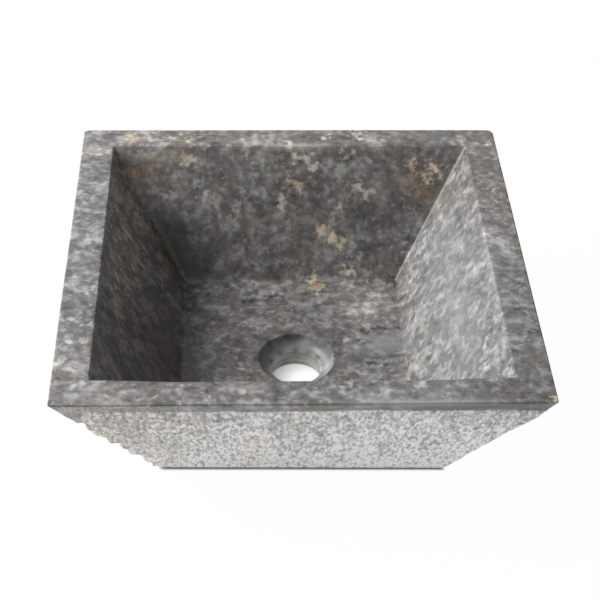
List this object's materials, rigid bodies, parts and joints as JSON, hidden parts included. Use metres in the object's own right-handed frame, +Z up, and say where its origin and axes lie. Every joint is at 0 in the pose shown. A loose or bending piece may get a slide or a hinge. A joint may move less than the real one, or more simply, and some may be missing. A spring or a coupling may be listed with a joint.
{
  "type": "marble countertop basin",
  "caption": "Square vessel basin carved from one block of grey marble, with a tapered bowl, a flat rim, hammered flanks and a dished drain hole, standing on thin pads.",
  "frame": {"origin": "middle of the square block, on the countertop under the pads", "axes": "+Z up along the way the waste fitting leaves, +X to the right and -Y to the front, the side that the drain hole is nearer to"},
  "size_m": [0.4, 0.4, 0.145],
  "materials": {
    "marble": "honed grey veined marble on the rim and in the bowl, bush-hammered paler on the flanks",
    "pad_rubber": "matt moulded rubber"
  },
  "bodies": {
    "root": {"basin": "marble", "pad_front_left": "pad_rubber", "pad_front_right": "pad_rubber", "pad_back_right": "pad_rubber", "pad_back_left": "pad_rubber"}
  },
  "joints": []
}
